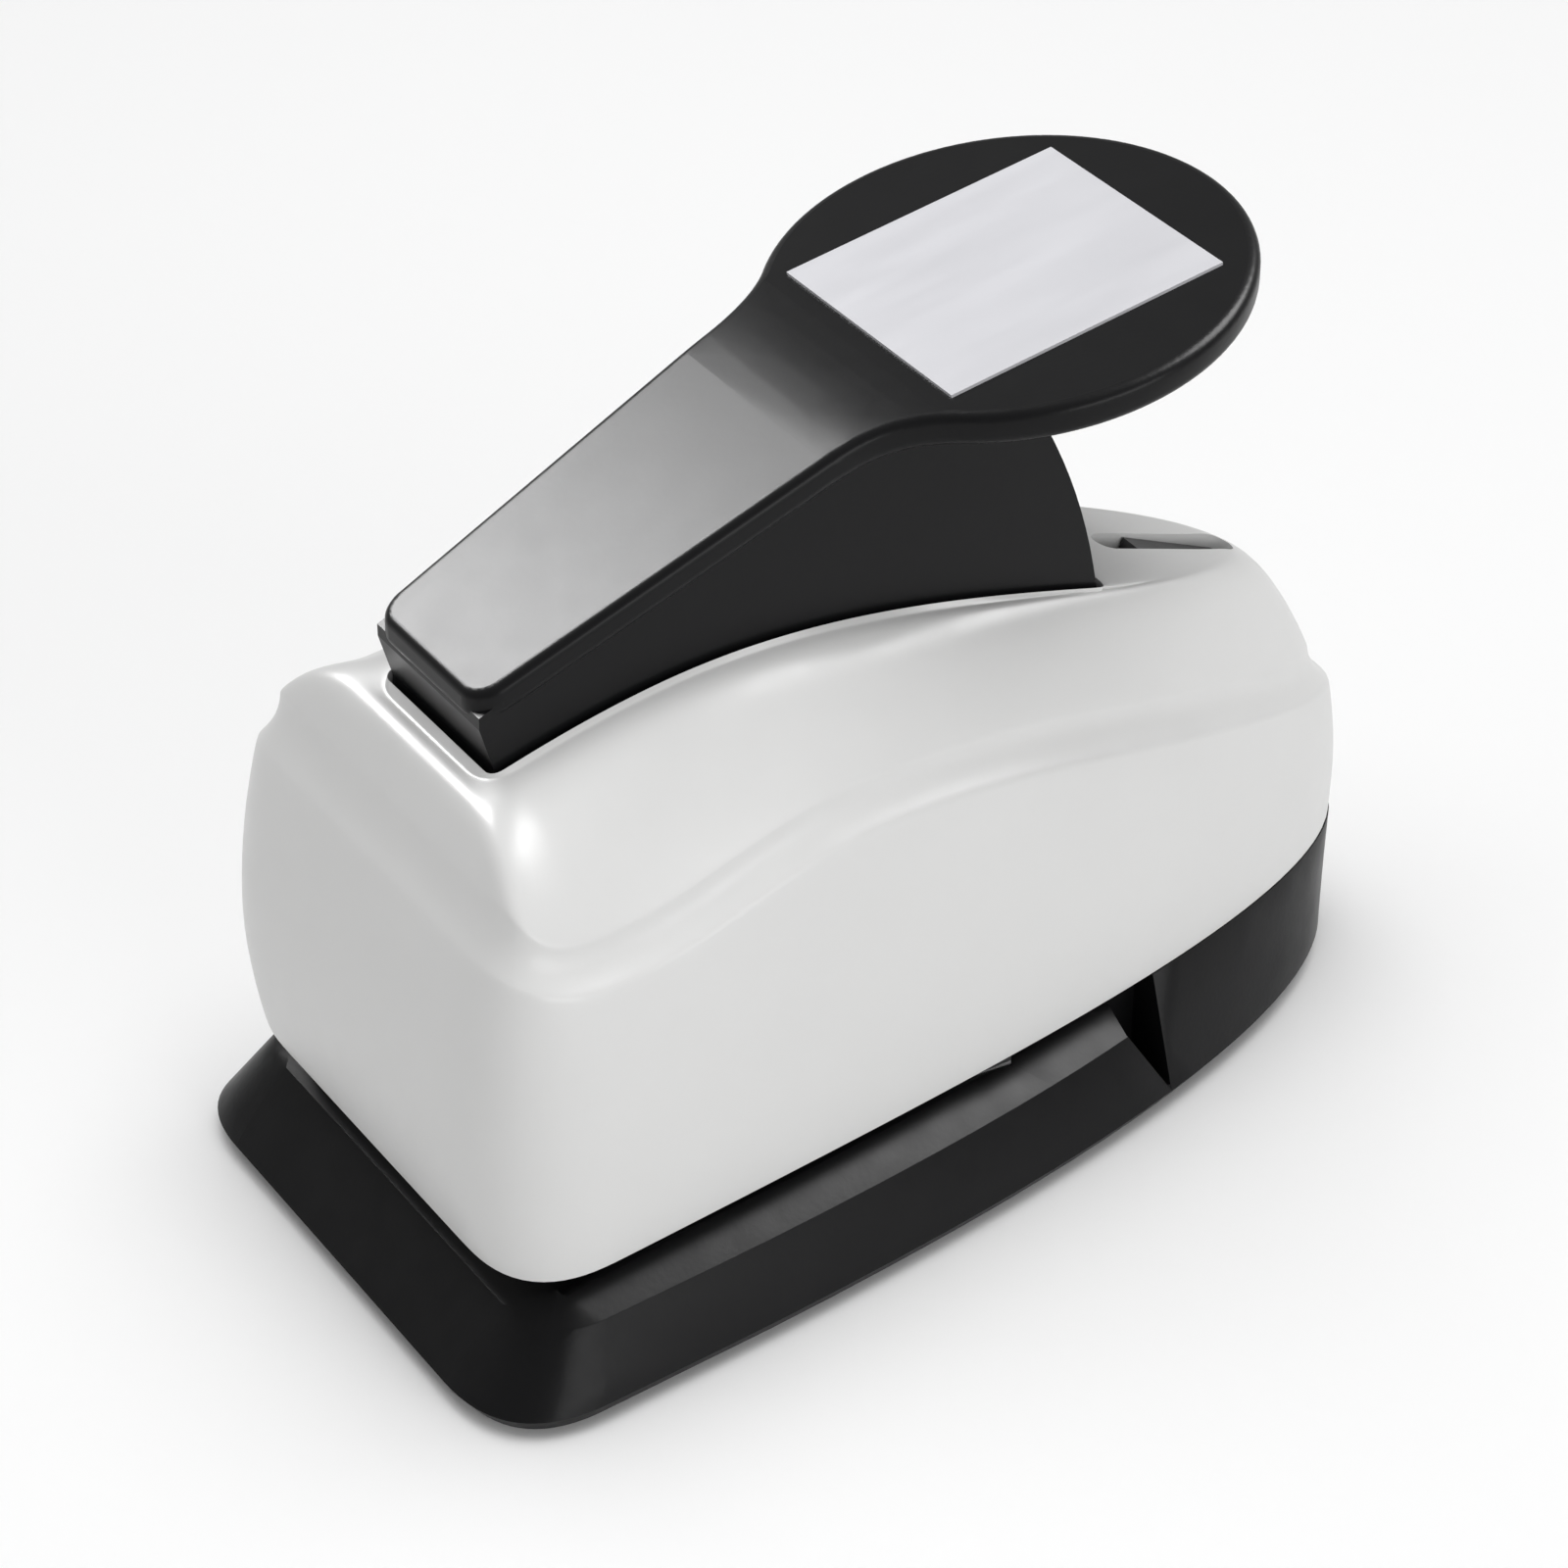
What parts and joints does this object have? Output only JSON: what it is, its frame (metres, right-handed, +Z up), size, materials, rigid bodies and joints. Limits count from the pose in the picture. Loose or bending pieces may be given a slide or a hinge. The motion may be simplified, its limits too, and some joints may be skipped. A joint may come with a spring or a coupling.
{
  "type": "corner rounder",
  "caption": "Lever-operated punch that rounds the corners of paper and card, with an off-white housing, black base and round black thumb lever.",
  "frame": {"origin": "centre of the footprint's box at the surface the punch stands on", "axes": "+Z up, +Y towards the round thumb disc at the back, paper enters from -Y, +X across the width"},
  "size_m": [0.0596, 0.111, 0.086],
  "materials": {
    "black_plastic": "satin black moulded plastic",
    "lever_plastic": "semi-gloss black moulded plastic",
    "black_acetal": "satin black acetal",
    "white_plastic": "satin off-white moulded plastic",
    "white_nylon": "natural nylon",
    "tool_steel": "ground tool steel",
    "plated_steel": "zinc plated steel",
    "spring_steel": "oiled spring wire",
    "zinc_casting": "tumbled zinc casting",
    "silver_label": "satin silver foil"
  },
  "bodies": {
    "punch_body": {"base": "black_plastic", "bottom_cover": "black_plastic", "cover_screws": "plated_steel", "die_plate": "tool_steel", "corner_fence": "black_acetal", "guide_block": "zinc_casting", "die_screws": "plated_steel", "dowel_pins": "tool_steel", "spring_seat": "plated_steel", "return_spring": "spring_steel", "lever_bracket": "plated_steel", "bracket_screws": "plated_steel", "pivot_pin": "tool_steel", "pivot_clips": "spring_steel", "pivot_washers": "white_nylon", "housing": "white_plastic", "housing_screws": "plated_steel", "lock_guide": "plated_steel", "lock_screws": "plated_steel"},
    "lever": {"lever": "lever_plastic", "push_pin": "tool_steel", "label_plate": "silver_label"},
    "cutter": {"corner_cutter": "tool_steel", "plunger_cap": "black_acetal", "cap_screw": "plated_steel"},
    "lock": {"lock_slider": "black_acetal"}
  },
  "joints": [
    {"name": "lever_press", "type": "hinge", "parent": "punch_body", "child": "lever", "pos_m": [0, -0.0394, 0.043], "axis": [-1, 0, 0], "range_deg": [0, 11]},
    {"name": "cutter_slide", "type": "slide", "parent": "punch_body", "child": "cutter", "axis": [0, 0, -1], "range_m": [0, 0.00534], "stiffness_N_per_m": 607, "springref_m": -0.008, "deforming": ["return_spring"]},
    {"name": "lock_slide", "type": "slide", "parent": "punch_body", "child": "lock", "axis": [0, -0.9135, 0.4067], "range_m": [0, 0.0035]}
  ],
  "couplings": [
    {"joint": "lever_press", "follows": "cutter_slide", "rad_per_m": 35.97}
  ]
}
